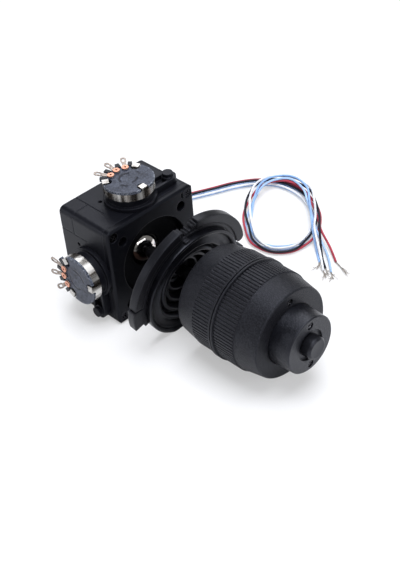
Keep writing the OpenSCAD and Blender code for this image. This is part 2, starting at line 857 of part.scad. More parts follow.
end_screw_at = 14.1;

module end_screws() {
  color(steel) along_x(grip_end - 0.5) for (s = [-1, 1]) {
    translate([s * end_screw_at, 0, 0]) cross_screw(1.45, 0.7, 0.8, 6.5);
  }
}

// Hub that hangs from the end screws and holds the upper grip half on the core
module upper_hub() {
  hub_x = core_end - core_flange_t - 2.2;
  hub_r = grip_front_r - shell_t - 0.05;
  color(black_plastic) along_x(hub_x) difference() {
    union() {
      cylinder(r = hub_r, h = 2);
      for (s = [-1, 1]) {
        translate([s * (end_screw_at - 0.3), 0, 0]) cylinder(r = 1.9, h = grip_end - shell_t - 0.02 - hub_x);
      }
    }
    translate([0, 0, -1]) cylinder(r = core_bore, h = 4);
    for (s = [-1, 1]) {
      translate([s * end_screw_at, 0, -1]) cylinder(r = 0.82, h = 20);
    }
  }
}

// Spool on the stem that carries both tracks; the lower grip half turns on it
module grip_core() {
  core_x = grip_x - 1;
  color(grey_plastic) along_x(core_x) difference() {
    union() {
      cylinder(r = core_r, h = core_end - core_x);
      cylinder(r = core_r + 2, h = 0.9);
      translate([0, 0, core_end - core_x - core_flange_t]) cylinder(r = cap_r - 0.3, h = core_flange_t);
    }
    translate([0, 0, -1]) cylinder(r = stem_r + 0.01, h = 100);
    for (s = [-1, 1]) {
      translate([s * cap_screw_at, 0, 0]) cylinder(r = 0.82, h = 100);
    }
  }
}

// Disc between the grip halves, seen as the floor of the split
module divider() {
  shoulder_r = min(grip_back_r, grip_front_r) - shell_t - 0.4;
  color(soft_black) along_x(split_x - 1) difference() {
    union() {
      cylinder(r = shoulder_r, h = 2.2);
      translate([0, 0, 1.05]) cylinder(r = lip_r - 1.4, h = split_gap - 0.1);
    }
    translate([0, 0, -1]) cylinder(r = core_r + 0.02, h = 5);
  }
}

// Resistive track board on the core
module track_board(x) {
  color(wafer_blue) along_x(x) tube(track_r, core_r + 0.02, 1.2);
}

module lower_track() { track_board(grip_x + 8); }
module upper_track() { track_board(upper_x + 6); }

// Wiper ring pressed into a grip half
module wiper_ring(x, outer_r) {
  color(copper) along_x(x) {
    tube(outer_r, outer_r - 1.6, 1.6);
    for (a = [80, 100]) {
      rotate([0, 0, a]) translate([outer_r - 4.4, -0.6, 1.1]) cube([3.4, 1.2, 0.5]);
    }
  }
}

module lower_wiper() { wiper_ring(grip_x + 6, grip_back_r - shell_t - 0.02); }
module upper_wiper() { wiper_ring(upper_x + 4, grip_front_r - shell_t - 0.02); }

// ---------- end cap, switch and button ----------

cap_face = grip_end + cap_len;
cap_face_r = cap_r - 0.4;
cap_root = core_end + 0.02;
dish_r = 6.2;
cap_screw_at = cap_r - 3.1;
button_front = cap_face + button_h;
board_t = 1.6;
switch_x = cap_root + board_t + 0.02;
switch_h = 3.4;
button_seat = switch_x + switch_h + 1;

module end_cap() {
  bore_r = cap_r - 1.8;
  color(grey_plastic) along_x(cap_root) difference() {
    rotate_extrude($fn = 96) polygon([
      [0, 0], [cap_r, 0], [cap_r, cap_face - cap_root - cap_len],
      [cap_face_r, cap_face - cap_root - 0.3], [cap_face_r - 0.3, cap_face - cap_root],
      [0, cap_face - cap_root]
    ]);
    translate([0, 0, -1]) cylinder(r = bore_r - 2.6, h = cap_face - cap_root - 1);
    translate([0, 0, cap_face - cap_root - 3]) cylinder(r = button_r + run_gap + 0.1, h = 6);
    translate([0, 0, cap_face - cap_root - 0.9]) cylinder(r = dish_r, h = 6);
    for (s = [-1, 1]) {
      translate([s * cap_screw_at, 0, cap_face - cap_root - 1]) cylinder(r = 1.5, h = 3);
      translate([s * cap_screw_at, 0, -1]) cylinder(r = 0.82, h = cap_face - cap_root);
    }
  }
}

module cap_screws() {
  color(steel) along_x(cap_face - 0.4) for (s = [-1, 1]) {
    translate([s * cap_screw_at, 0, 0]) cross_screw(1.4, 0.6, 0.8, cap_len + 3.6);
  }
}

// Round board that carries the switch on the end of the core
module switch_board() {
  color(wafer_blue) along_x(cap_root) tube(cap_r - 4.6, stem_r - 0.4, board_t);
}

module push_switch() {
  side = 6;
  color(soft_black) translate([switch_x, 0, 0]) {
    translate([0, -side / 2, -side / 2]) cube([switch_h, side, side]);
  }
}

// Button with a wide foot behind the end cap's wall
module push_button() {
  foot_r = 4.4;
  color(black_plastic) along_x(button_seat + 0.2) {
    rotate_extrude($fn = 64) polygon([
      [0, 0], [foot_r, 0], [foot_r, 1], [button_r, 1],
      [button_r, button_front - button_seat - 0.5], [button_r - 0.4, button_front - button_seat - 0.2],
      [0, button_front - button_seat - 0.2]
    ]);
  }
}

// ---------- wires ----------

// Middle of the loosely twisted bundle: out of the bush, down to the table, round a loop
// and over itself. Each wire then runs to its own end.
wire_route = [
  [-29.25, 7, -13], [-34, 7, -13.3], [-42, 9.5, -16.5], [-49, 16.5, -19.6], [-51.5, 28, -20.5],
  [-48.5, 42, -20.5], [-41.5, 55, -20.5], [-36, 66, -20.5], [-31.5, 75.5, -20.5], [-25.5, 83.5, -20.5],
  [-17, 89, -20.5], [-7, 90, -20.5], [3, 87, -20.5], [11.5, 81.5, -20.5], [17.5, 74, -20.5],
  [20.5, 65.5, -20.5], [19.5, 57, -20.5], [13.5, 51, -20.5], [4.5, 50.5, -20.5], [-4.5, 56, -20.5],
  [-12.2, 63.5, -20.3], [-17.2, 71.5, -18.6], [-20, 79.5, -17.5], [-18.5, 87, -17.5],
  [-12, 92, -17.5], [-2, 90.8, -17.5], [6.5, 84.5, -17.5], [15, 77, -17.5], [21.5, 70.5, -17.7]
];
// Turn of the bundle at some places along its route, in degrees
wire_twist = [[0, 0], [15, 0], [16.5, -100], [18.5, 0], [19.3, 0], [21, -90], [24, -180], [28, -36]];
// Half width and half height of the bundle
lay_a = 1.8 * wire_d;
lay_b = 0.95 * wire_d;
// Place of each wire round the bundle, in degrees, its own last two points on the table, and
// the direction of its stripped end
red_lay = [18, [[31, 67.6, -20.4], [38.5, 62.5, -21.4]], [0.94, -0.34, 0]];
black_lay = [90, [[31.5, 61.8, -20.8], [38, 56.5, -21.4]], [0.83, -0.56, 0]];
pale_blue_lay = [-54, [[33.5, 63, -20.6], [41.5, 56, -21.4]], [0.76, -0.65, 0]];
blue_lay = [234, [[27.3, 63.3, -20.9], [33.7, 58, -21.4]], [0.46, -0.89, 0]];
white_lay = [162, [[31.2, 61.1, -19.7], [38.4, 54.7, -21.4]], [0.8, -0.6, 0]];

// Smooth curve through points: Catmull-Rom, some steps per span
function blend_point(a, b, c, d, t) =
  0.5 * ((2 * b) + (c - a) * t + (2 * a - 5 * b + 4 * c - d) * t * t
    + (3 * b - a - 3 * c + d) * t * t * t);
function smooth(route, steps) = [
  for (i = [0:len(route) - 2], k = [0:steps - 1])
    let (n = len(route) - 1)
      blend_point(route[max(i - 1, 0)], route[i], route[i + 1], route[min(i + 2, n)], k / steps),
  route[len(route) - 1]
];

// Sideways direction of the bundle, to the left along its route
function lay_side(i) = let (t = tangent(wire_route, i)) unit([-t[1], t[0], 0]);

// Path of one wire: its place in the bundle at every point of the route, then its own end
function wire_path(lay) = smooth(concat([
  for (i = [0:len(wire_route) - 1])
    let (a = lay[0] + lookup(i, wire_twist))
      wire_route[i] + lay_a * cos(a) * lay_side(i) + [0, 0, lay_b * sin(a)]
], lay[1]), 2);

module wire(lay) { sweep(wire_path(lay), wire_d / 2, 8); }

module wire_red() { color([0.78, 0.1, 0.14]) wire(red_lay); }
module wire_black() { color([0.06, 0.06, 0.07]) wire(black_lay); }
module wire_blue() { color([0.3, 0.55, 0.85]) wire(blue_lay); }
module wire_pale_blue() { color([0.55, 0.75, 0.92]) wire(pale_blue_lay); }
module wire_white() { color([0.93, 0.94, 0.96]) wire(white_lay); }

// Twisted and tinned strands at the five wire ends
module wire_ends() {
  strand_r = 0.3;
  color(nickel) for (lay = [red_lay, black_lay, pale_blue_lay, blue_lay, white_lay]) {
    tip = lay[1][1];
    run = lay[2];
    sweep([tip + run * eps, tip + run * strip_len / 2, tip + run * strip_len], strand_r, 8);
  }
}

housing_body();
front_plate();
front_screws();
rear_cover();
rear_screws();
socket_front();
socket_retainer();
wire_bush();
hub_top();
pot_top_can();
pot_top_wafer();
pot_top_lugs();
pot_top_eyelets();
hub_side();
pot_side_can();
pot_side_wafer();
pot_side_lugs();
pot_side_eyelets();
bearing_bottom();
bearing_far();
spring_bottom();
spring_far();
yoke_top();
pot_top_rotor();
yoke_side();
pot_side_rotor();
swivel_ball();
stem();
boot();
clamp_collar();
clamp_arc_left();
clamp_arc_right();
grip_core();
divider();
lower_track();
upper_track();
switch_board();
push_switch();
end_cap();
cap_screws();
lower_grip();
lower_wiper();
upper_grip();
upper_hub();
upper_wiper();
end_screws();
push_button();
wire_red();
wire_black();
wire_blue();
wire_pale_blue();
wire_white();
wire_ends();
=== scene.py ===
import math

import bpy
import numpy as np
from mathutils import Matrix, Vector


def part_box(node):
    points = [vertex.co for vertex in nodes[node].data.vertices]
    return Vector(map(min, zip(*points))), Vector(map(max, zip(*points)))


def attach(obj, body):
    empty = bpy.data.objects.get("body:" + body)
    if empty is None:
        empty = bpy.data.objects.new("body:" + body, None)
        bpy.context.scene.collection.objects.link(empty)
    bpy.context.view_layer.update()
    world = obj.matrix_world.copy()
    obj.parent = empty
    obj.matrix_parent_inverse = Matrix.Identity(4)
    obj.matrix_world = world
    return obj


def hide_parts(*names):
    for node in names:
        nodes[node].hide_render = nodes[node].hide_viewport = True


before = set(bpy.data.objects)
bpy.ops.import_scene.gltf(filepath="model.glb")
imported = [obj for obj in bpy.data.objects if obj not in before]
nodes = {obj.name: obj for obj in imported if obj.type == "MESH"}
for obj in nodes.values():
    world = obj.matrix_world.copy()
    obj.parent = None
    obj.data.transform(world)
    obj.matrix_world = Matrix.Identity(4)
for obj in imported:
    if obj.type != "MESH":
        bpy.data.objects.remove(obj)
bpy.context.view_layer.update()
scene = bpy.context.scene
MM = 0.001


# ---------- camera ----------
# A long lens from above the button end, as a catalogue shows a joystick that lies on its side:
# the front plate, both potentiometers and the whole grip are in view.
camera = bpy.data.objects.new("camera", bpy.data.cameras.new("camera"))
scene.collection.objects.link(camera)
camera.data.sensor_fit = "VERTICAL"
camera.data.sensor_height = 36.0
camera.data.lens = 69.18
# Columns: the camera's right, up and back directions, and its place
camera.matrix_world = Matrix((
    (0.70059, -0.41236, 0.58235, 264.99 * MM),
    (0.71017, 0.48243, -0.51276, -212.03 * MM),
    (-0.06950, 0.77280, 0.63084, 258.58 * MM),
    (0.0, 0.0, 0.0, 1.0),
))
scene.camera = camera


# ---------- wires ----------
# Five hook-up wires with soft PVC insulation leave the rear cover as one loose bundle. Each is
# extruded over seven tinned copper strands, and its end is stripped and twisted.
wire_diameter = 1.0
wire_facets = 12
strip_length = 5.0
strand_radius = 0.1
strand_turns = 0.9
route_steps = 8
# The bundle's centre line, from the bush round the loop to where the wires part
wire_route = np.array([
    (-29.25, 7, -13), (-34, 7, -13.3), (-42, 9.5, -16.5), (-49, 16.5, -19.6), (-51.5, 28, -20.5),
    (-48.5, 42, -20.5), (-41.5, 55, -20.5), (-36, 66, -20.5), (-31.5, 75.5, -20.5),
    (-25.5, 83.5, -20.5), (-17, 89, -20.5), (-7, 90, -20.5), (3, 87, -20.5), (11.5, 81.5, -20.5),
    (17.5, 74, -20.5), (20.5, 65.5, -20.5), (19.5, 57, -20.5), (13.5, 51, -20.5),
    (4.5, 50.5, -20.5), (-4.5, 56, -20.5), (-12.2, 63.5, -20.3), (-17.2, 71.5, -18.6),
    (-20, 79.5, -17.5), (-18.5, 87, -17.5), (-12, 92, -17.5), (-2, 90.8, -17.5),
    (6.5, 84.5, -17.5), (15, 77, -17.5), (21.5, 70.5, -17.7)])
# Twist of the bundle in degrees at points of the route: it turns on edge where it crosses itself
wire_twist = np.array([(0, 0), (15, 0), (16.5, -100), (18.5, 0), (19.3, 0), (21, -90),
                       (24, -180), (28, -36)], float)
bundle_half_width = 1.8 * wire_diameter
bundle_half_height = 0.95 * wire_diameter
# Per wire: place round the bundle in degrees, its own last two points, direction of the bare
# end, and the insulation's colour
wires = {
    "red": (18, ((31, 67.6, -20.4), (38.5, 62.5, -21.4)), (0.94, -0.34, 0), (0.40, 0.040, 0.065)),
    "black": (90, ((31.5, 61.8, -20.8), (38, 56.5, -21.4)), (0.83, -0.56, 0),
              (0.003, 0.004, 0.012)),
    "pale_blue": (-54, ((33.5, 63, -20.6), (41.5, 56, -21.4)), (0.76, -0.65, 0),
                  (0.40, 0.58, 0.86)),
    "blue": (234, ((27.3, 63.3, -20.9), (33.7, 58, -21.4)), (0.46, -0.89, 0),
             (0.30, 0.49, 0.82)),
    "white": (162, ((31.2, 61.1, -19.7), (38.4, 54.7, -21.4)), (0.8, -0.6, 0),
              (0.80, 0.82, 0.86)),
}


def unit(v):
    """Each row divided by its own length."""
    v = np.asarray(v, float)
    return v / np.linalg.norm(v, axis=-1, keepdims=True)


def smooth_curve(points, steps):
    """Catmull-Rom through the points: on each span the cubic that leaves each point in the
    direction from its earlier to its later neighbour, sampled in equal steps."""
    p = np.asarray(points, float)
    padded = np.vstack([p[:1], p, p[-1:]])
    a, b, c, d = padded[:-3, None], padded[1:-2, None], padded[2:-1, None], padded[3:, None]
    t = (np.arange(steps) / steps)[None, :, None]
    spans = 0.5 * (2 * b + (c - a) * t + (2 * a - 5 * b + 4 * c - d) * t ** 2
                   + (3 * b - a - 3 * c + d) * t ** 3)
    return np.vstack([spans.reshape(-1, 3), p[-1:]])


def wire_path(place, own_points):
    """A wire's centre line: route + half width * cos(angle) * sideways + half height *
    sin(angle) * up, where the angle is its place plus the bundle's twist there; then its own
    two end points, smoothed."""
    run = unit(np.gradient(wire_route, axis=0))
    side = unit(np.stack([-run[:, 1], run[:, 0], 0 * run[:, 0]], 1))
    turn = np.interp(np.arange(len(wire_route)), wire_twist[:, 0], wire_twist[:, 1])
    angle = np.radians(place + turn)[:, None]
    lay = wire_route + bundle_half_width * np.cos(angle) * side
    lay = lay + bundle_half_height * np.sin(angle) * np.array([0, 0, 1.0])
    return smooth_curve(np.vstack([lay, own_points]), route_steps)


def tube_grid(path, radius, around):
    """Circles of the given radius carried along a path: point + radius * (cos * side +
    sin * over). The side vector is turned from one tangent to the next without twist."""
    p = np.asarray(path, float)
    run = unit(np.gradient(p, axis=0))
    side = unit(np.cross(run[0], (0, 0, 1.0)))
    sides = np.empty_like(p)
    for i, t in enumerate(run):
        side = unit(side - t * (side @ t))
        sides[i] = side
    over = np.cross(run, sides)
    a = np.linspace(0, 2 * np.pi, around, endpoint=False)[None, :, None]
    return p[:, None] + radius * (np.cos(a) * sides[:, None] + np.sin(a) * over[:, None])


def grid_faces(rows, columns, closed_rows=False, first=0):
    """Quads between neighbouring rows and columns of a grid of points. Each row closes on
    itself, and the last row on the first one where closed_rows is set."""
    i = np.arange(rows if closed_rows else rows - 1)
    i, j = np.meshgrid(i, np.arange(columns), indexing="ij")
    i2, j2 = (i + 1) % rows, (j + 1) % columns
    quads = np.stack([i * columns + j, i * columns + j2, i2 * columns + j2, i2 * columns + j], -1)
    return quads.reshape(-1, 4) + first


def make_piece(name, points, faces, body, material):
    """A smooth-shaded mesh at the origin from points in millimetres and faces, riding on a
    body."""
    mesh = bpy.data.meshes.new(name)
    mesh.from_pydata((np.asarray(points, float).reshape(-1, 3) * MM).tolist(), [],
                     [list(map(int, f)) for f in faces])
    mesh.materials.append(material)
    mesh.polygons.foreach_set("use_smooth", np.full(len(mesh.polygons), True))
    mesh.validate()
    mesh.update()
    piece = bpy.data.objects.new(name, mesh)
    scene.collection.objects.link(piece)
    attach(piece, body)
    return piece


def closed_tube(grid, first=0):
    """Faces of a tube grid with a fan of triangles over each end, on two added centre points."""
    rows, columns = grid.shape[:2]
    quads = grid_faces(rows, columns, first=first)
    a, b = first + rows * columns, first + rows * columns + 1
    j = np.arange(columns)
    j2 = (j + 1) % columns
    start = np.stack([np.full(columns, a), first + j2, first + j], 1)
    last = first + (rows - 1) * columns
    end = np.stack([np.full(columns, b), last + j, last + j2], 1)
    points = np.vstack([grid.reshape(-1, 3), grid[0].mean(0)[None], grid[-1].mean(0)[None]])
    return points, [*quads.tolist(), *start.tolist(), *end.tolist()]


class Value:
    """A number on a shader socket. Arithmetic on it adds Math nodes to its material."""

    def __init__(self, tree, socket):
        self.tree, self.socket = tree, socket

    def math(self, operation, *others, clamp=False):
        made = self.tree.node("ShaderNodeMath", {"operation": operation, "use_clamp": clamp},
                              dict(enumerate(others)))
        return made.out(0)

    def __add__(self, other): return self.math("ADD", self, other)
    def __radd__(self, other): return self.math("ADD", other, self)
    def __sub__(self, other): return self.math("SUBTRACT", self, other)
    def __rsub__(self, other): return self.math("SUBTRACT", other, self)
    def __mul__(self, other): return self.math("MULTIPLY", self, other)
    def __rmul__(self, other): return self.math("MULTIPLY", other, self)
    def __truediv__(self, other): return self.math("DIVIDE", self, other)
    def __rtruediv__(self, other): return self.math("DIVIDE", other, self)
    def __pow__(self, other): return self.math("POWER", self, other)

    def clamp(self):
        return self.math("ADD", self, 0.0, clamp=True)

    def below(self, edge, soft):
        """1 under the edge, 0 above edge + soft, straight between them."""
        return ((edge + soft - self) / soft).clamp()


class Node:
    """One shader node, whose outputs are read by name or number."""

    def __init__(self, tree, made):
        self.tree, self.made = tree, made

    def out(self, key=0):
        return Value(self.tree, self.made.outputs[key])


class Finish:
    """A material with a Principled shader, built up by node()."""

    def __init__(self, name, **constants):
        self.material = bpy.data.materials.new(name)
        self.material.use_nodes = True
        self.nodes = self.material.node_tree.nodes
        self.links = self.material.node_tree.links
        self.nodes.clear()
        self.end = self.nodes.new("ShaderNodeOutputMaterial")
        self.shader = self.nodes.new("ShaderNodeBsdfPrincipled")
        self.links.new(self.shader.outputs[0], self.end.inputs[0])
        for key, value in constants.items():
            socket = self.shader.inputs[key.replace("_", " ").title().replace("Ior", "IOR")]
            socket.default_value = (*value, 1.0) if isinstance(value, tuple) else value
        self.place = self.node("ShaderNodeTexCoord").out("Object")

    def node(self, kind, settings=None, sockets=None):
        """Adds any node: its settings first, then the values or links of its sockets."""
        made = self.nodes.new(kind)
        for key, value in (settings or {}).items():
            setattr(made, key, value)
        for key, value in (sockets or {}).items():
            if isinstance(value, Value):
                self.links.new(value.socket, made.inputs[key])
            elif isinstance(value, tuple) and len(made.inputs[key].default_value) == 4:
                made.inputs[key].default_value = (*value, 1.0)
            else:
                made.inputs[key].default_value = value
        return Node(self, made)

    def noise(self, per_mm, detail=2.0, roughness=0.5, place=None, warp=0.0):
        """Cloudy noise from 0 to 1, with so many waves per millimetre."""
        return self.node("ShaderNodeTexNoise", {}, {
            "Vector": place or self.place, "Scale": per_mm / MM, "Detail": detail,
            "Roughness": roughness, "Distortion": warp}).out("Fac")

    def mix(self, share, low, high):
        """A colour from low to high by a share."""
        return self.node("ShaderNodeMix", {"data_type": "RGBA"},
                         {0: share, 6: low, 7: high}).out(2)

    def scaled(self, factors):
        """The place stretched by three factors."""
        return self.node("ShaderNodeVectorMath", {"operation": "MULTIPLY"},
                         {0: self.place, 1: factors}).out(0)

    def axes(self):
        """The three coordinates in millimetres."""
        split = self.node("ShaderNodeSeparateXYZ", {}, {0: self.place})
        return [split.out(i) * (1 / MM) for i in range(3)]

    def paint(self, **links):
        """Links what varies to the shader."""
        names = {"color": "Base Color", "roughness": "Roughness", "metallic": "Metallic"}
        for key, value in links.items():
            self.links.new(value.socket, self.shader.inputs[names[key]])
        return self

    def edge(self, radius_mm):
        """Rounds sharp edges over a radius, and gives 1 on an edge and 0 away from it: four
        times 1 - the cosine between the rounded and the true direction of the surface."""
        soft = self.node("ShaderNodeBevel", {"samples": 4}, {"Radius": radius_mm * MM}).out(0)
        true = self.node("ShaderNodeNewGeometry").out("True Normal")
        self.links.new(soft.socket, self.shader.inputs["Normal"])
        agree = self.node("ShaderNodeVectorMath", {"operation": "DOT_PRODUCT"},
                          {0: soft, 1: true}).out("Value")
        return ((1.0 - agree) * 4.0).clamp()

    def bump(self, height, depth_mm):
        """Height from 0 to 1 as relief of the given depth, on top of any relief before it."""
        made = self.node("ShaderNodeBump", {}, {"Distance": depth_mm * MM, "Height": height})
        old = self.shader.inputs["Normal"]
        if old.links:
            self.links.new(old.links[0].from_socket, made.made.inputs["Normal"])
        self.links.new(made.made.outputs[0], self.shader.inputs["Normal"])
        return self


def insulation(name, colour):
    """Soft PVC: slight waviness, paler where it is scuffed, and a low sheen."""
    f = Finish(name, specular_ior_level=0.25)
    cloud = f.noise(0.22, 3.0)
    fine = f.noise(2.5, 2.0)
    pale = tuple(min(1.0, c * 1.12 + 0.004) for c in colour)
    dark = tuple(c * 0.82 for c in colour)
    f.paint(color=f.mix((cloud - 0.3) * 2.4, dark, pale), roughness=0.42 + 0.18 * fine)
    f.bump(f.noise(0.6, 2.0), 0.05)
    f.bump(fine, 0.008)
    return f.material


tinned = Finish("tinned_copper_strand", metallic=0.5, specular_ior_level=0.5)
strand_cloud = tinned.noise(1.6, 3.0)
tinned.paint(color=tinned.mix((strand_cloud - 0.25) * 2.0, (0.20, 0.165, 0.14),
                              (0.60, 0.55, 0.50)),
             roughness=0.32 + 0.25 * tinned.noise(3.0))
tinned.bump(tinned.noise(5.0, 2.0), 0.02)


def twisted_strands(tip, run, length, fray):
    """Seven strands: one straight and six on a slow helix round it. The twist loosens towards
    the cut end, where each strand leaves by fray * t^2.5 its own way and curls back by a
    sine."""
    run = unit(run)
    side = unit(np.cross(run, (0, 0, 1.0)))
    over = np.cross(side, run)
    t = np.linspace(0.0, 1.0, 15)[:, None]
    points, faces, count = [], [], 0
    for k in range(7):
        turn = 2 * np.pi * (k / 6 + strand_turns * t)
        spread = 0.0 if k == 6 else 0.19 + 0.06 * t ** 2
        reach = length * (1.0 - 0.03 * ((k * 5) % 7))
        line = tip + run * (t * reach) + spread * (np.cos(turn) * side + np.sin(turn) * over)
        away = 2.4 * k + 0.8
        stray = fray * t ** 2.5 * (0.6 + 0.4 * math.cos(3.1 * k))
        line = line + stray * (math.cos(away) * side + 0.45 * abs(math.sin(away)) * over)
        line = line - run * stray * np.sin(4.2 * t + k) * 0.8
        piece_points, piece_faces = closed_tube(tube_grid(line, strand_radius, 6), count)
        points.append(piece_points)
        faces += piece_faces
        count += len(piece_points)
    return np.vstack(points), faces


for colour_name, (place, own_points, bare_run, colour) in wires.items():
    path = wire_path(place, own_points)
    points, faces = closed_tube(tube_grid(path, wire_diameter / 2, wire_facets))
    wire = make_piece("lead_" + colour_name, points, faces, "housing",
                      insulation("wire_insulation_" + colour_name, colour))
    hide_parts("wire_" + colour_name)
    # The red wire is stripped twice as far as the others, and its strands keep together
    strip, fray = (2 * strip_length, 0.9) if colour_name == "red" else (strip_length, 2.4)
    points, faces = twisted_strands(np.array(own_points[1], float), bare_run, strip, fray)
    bare_end = make_piece("strands_" + colour_name, points, faces, "housing", tinned.material)
    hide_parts("wire_ends")


# ---------- housing ----------
# The square housing, its front plate and rear cover, the two potentiometer hubs, the wire bush
# and the front ring of the ball socket: glass-filled nylon, injection moulded and fine-textured.
def nylon(name, dark, light, rough, texture=0.012, edge=0.6, shine=0.3, speckle=0.8):
    """Moulded nylon: a fine eroded texture, faint flow clouds, pale patches from handling, and
    edges that the mould rounds off, with a painted highlight along them that also stands for
    rubbing."""
    f = Finish(name, specular_ior_level=shine, specular_tint=(0.84, 0.87, 1.0))
    cloud = f.noise(0.05, 4.0, 0.6)
    speck = f.noise(3.2, 3.0, 0.65)
    rubbed = ((f.noise(0.11, 6.0, 0.7, warp=0.6) - 0.60) * 6.0).clamp()
    grain = f.noise(1.7, 2.0, 0.8)
    share = (cloud - 0.5) * 1.2 + (speck - 0.5) * 0.7 + (grain - 0.5) * speckle + 0.45
    base = f.mix(share.clamp(), dark, light)
    # The paler colour serves the handling patches and the painted edge highlight.
    pale = tuple(c * 2.4 + 0.06 * shine for c in light)
    wear_and_edge_highlight = (rubbed * 0.3 * speck + f.edge(edge) * (0.35 + 0.4 * cloud)).clamp()
    f.paint(color=f.mix(wear_and_edge_highlight, base, pale),
            roughness=rough + 0.10 * (speck - 0.5) + 0.07 * (cloud - 0.5))
    f.bump(speck, texture)
    f.bump(grain, texture * 1.5)
    f.bump(f.noise(0.5, 2.0), 0.02)
    return f.material


def dress(material, *names):
    """Gives CAD nodes a finish."""
    for name in names:
        mesh = nodes[name].data
        mesh.materials.clear()
        mesh.materials.append(material)


dress(nylon("housing_nylon", (0.0036, 0.0038, 0.0056), (0.0080, 0.0084, 0.0118), 0.42,
            shine=0.17),
      "housing_body", "hub_top", "hub_side", "rear_cover", "wire_bush", "socket_retainer")
# The front plate is painted darker than the housing: painted shade on the face turned from the
# lamps.
dress(nylon("plate_nylon", (0.0016, 0.0018, 0.0030), (0.0036, 0.0040, 0.0062), 0.40, shine=0.15),
      "front_plate")
dress(nylon("socket_nylon", (0.0016, 0.0016, 0.0022), (0.0035, 0.0035, 0.0045), 0.6, shine=0.03),
      "socket_front")
dress(nylon("bearing_nylon", (0.02, 0.02, 0.022), (0.035, 0.035, 0.038), 0.4),
      "bearing_bottom", "bearing_far", "yoke_top", "yoke_side")


# ---------- screws and springs ----------
# Black-oxide cross-head screws hold the plate, cover, end cap and grip. Two wound springs of
# spring steel centre the stick, and the grip's contact wipers are of the same steel.
def metal(name, dark, light, rough, edge=0.12):
    """Plated or blackened metal: fine turned lines, dull patches, and edges painted bright:
    painted glints that also stand for rubbing.
    """
    f = Finish(name, metallic=1.0)
    patch = f.noise(0.6, 4.0, 0.6)
    lines = f.noise(7.0, 2.0, place=f.scaled((1.0, 0.12, 1.0)))
    bright = tuple(min(1.0, c * 2.2 + 0.10) for c in light)
    base = f.mix(((patch - 0.3) * 2.0).clamp(), dark, light)
    # Painted glints: the edges are lightened towards the bright colour.
    f.paint(color=f.mix(f.edge(edge), base, bright),
            roughness=rough + 0.16 * (patch - 0.5) + 0.1 * lines)
    f.bump(lines, 0.006)
    return f.material


dress(metal("black_oxide", (0.010, 0.010, 0.013), (0.030, 0.030, 0.036), 0.34, edge=0.1),
      "front_screws", "rear_screws")
# Cap and end screws: stronger painted glints on their edges.
dress(metal("oxide_painted_glints", (0.012, 0.012, 0.015), (0.105, 0.105, 0.118), 0.18, edge=0.27),
      "cap_screws", "end_screws")
dress(metal("spring_steel", (0.34, 0.33, 0.32), (0.62, 0.61, 0.60), 0.30), "spring_bottom",
      "spring_far", "lower_wiper", "upper_wiper")


# ---------- potentiometers ----------
# Each has a drawn nickel-plated steel can, a phenolic wafer held by the can's folded tabs, tinned
# brass lugs with oval eyes, and copper eyelets that rivet the lugs to the wafer.
pivot_x = -11.3
# How far a wafer's face lies from the stick's centre line, and where its teeth start above it
wafer_face = 31.0
tooth_from = 0.06
# Radius outside which the rim is chipped
chipped_from = 9.5
# Change of a share per millimetre past a step in height
step_slope = 20.0


def drawn_can(name, along):
    """Nickel plate over a drawn wall: painted bright and brownish reflection bands that run along
    the draw, and folded tabs above the wafer painted in one middle tone as a dull reflection."""
    f = Finish(name)
    reflection_band = f.noise(0.17, 2.0, 0.55, place=f.scaled(along))
    fine = f.noise(3.0, 2.0, place=f.scaled(along))
    y, z = f.axes()[1:]
    tab = (((z if along[2] < 1.0 else 0.0 - y) - wafer_face) * step_slope).clamp()
    # Painted reflection: the bands and the tabs set the colour between dark and bright.
    share = ((reflection_band - 0.44) * 6.0 + (fine - 0.5) * 0.5 + tab).clamp() * (1.0 - 0.55 * tab)
    f.paint(color=f.mix(share, (0.10, 0.085, 0.072), (0.90, 0.88, 0.84)),
            metallic=0.9 - 0.5 * share, roughness=0.18 + 0.12 * fine)
    f.bump(fine, 0.008)
    return f.material


dress(drawn_can("can_nickel_top", (1.0, 1.0, 0.04)), "pot_top_can")
dress(drawn_can("can_nickel_side", (1.0, 0.04, 1.0)), "pot_side_can")


def wafer_laminate(name, over, arcs):
    """Blue-grey phenolic paper laminate with pale and dark fibres. The wafer lies in X and the
    axis over: Y (1) for the top one, which faces +Z, or Z (2) for the side one, which faces -Y.
    Arcs (radius, direction and half width in degrees) are pressed lines over the resistance
    track. The teeth, which stand above the wafer's face, are darker, and the rim is chipped
    pale."""
    f = Finish(name, specular_ior_level=0.2)
    fleck = f.noise(1.5, 3.0, 0.75)
    fibre = f.noise(1.1, 4.0, 0.6, place=f.scaled((1.0, 2.6, 1.0)))
    cloud = f.noise(0.16, 3.0)
    shade = ((fleck - 0.5) * 2.6 + (fibre - 0.5) * 1.3 + (cloud - 0.5) * 1.2 + 0.5).clamp()
    axes = f.axes()
    u, v = axes[0] - pivot_x, axes[over]
    radius = (u * u + v * v) ** 0.5
    groove = 0.0
    for at, direction, half_width in arcs:
        a = math.radians(direction)
        facing = (u * math.cos(a) + v * math.sin(a)) / (radius + 0.01)
        inside = ((facing - math.cos(math.radians(half_width))) * 12.0).clamp()
        off = f.node("ShaderNodeMath", {"operation": "ABSOLUTE"}, {0: radius - at}).out(0)
        groove = inside * off.below(0.20, 0.34) + groove
    height = axes[2] if over == 1 else 0.0 - axes[1]
    tooth = ((height - (wafer_face + tooth_from)) * step_slope).clamp()
    dark = f.mix(shade, (0.008, 0.010, 0.020), (0.078, 0.090, 0.124))
    lined = f.mix((groove * 0.9).clamp(), dark, (0.004, 0.005, 0.010))
    chipped = (((radius - chipped_from) * 3.0).clamp() * ((fleck - 0.52) * 9.0).clamp()).clamp()
    lined = f.mix(chipped * 0.6, lined, (0.42, 0.46, 0.52))
    f.paint(color=f.mix(tooth, lined, (0.016, 0.017, 0.020)),
            roughness=0.40 + 0.2 * (fibre - 0.5))
    f.bump(1.0 - groove, 0.12)
    f.bump(fleck, 0.06)
    f.bump(cloud, 0.25)
    return f.material


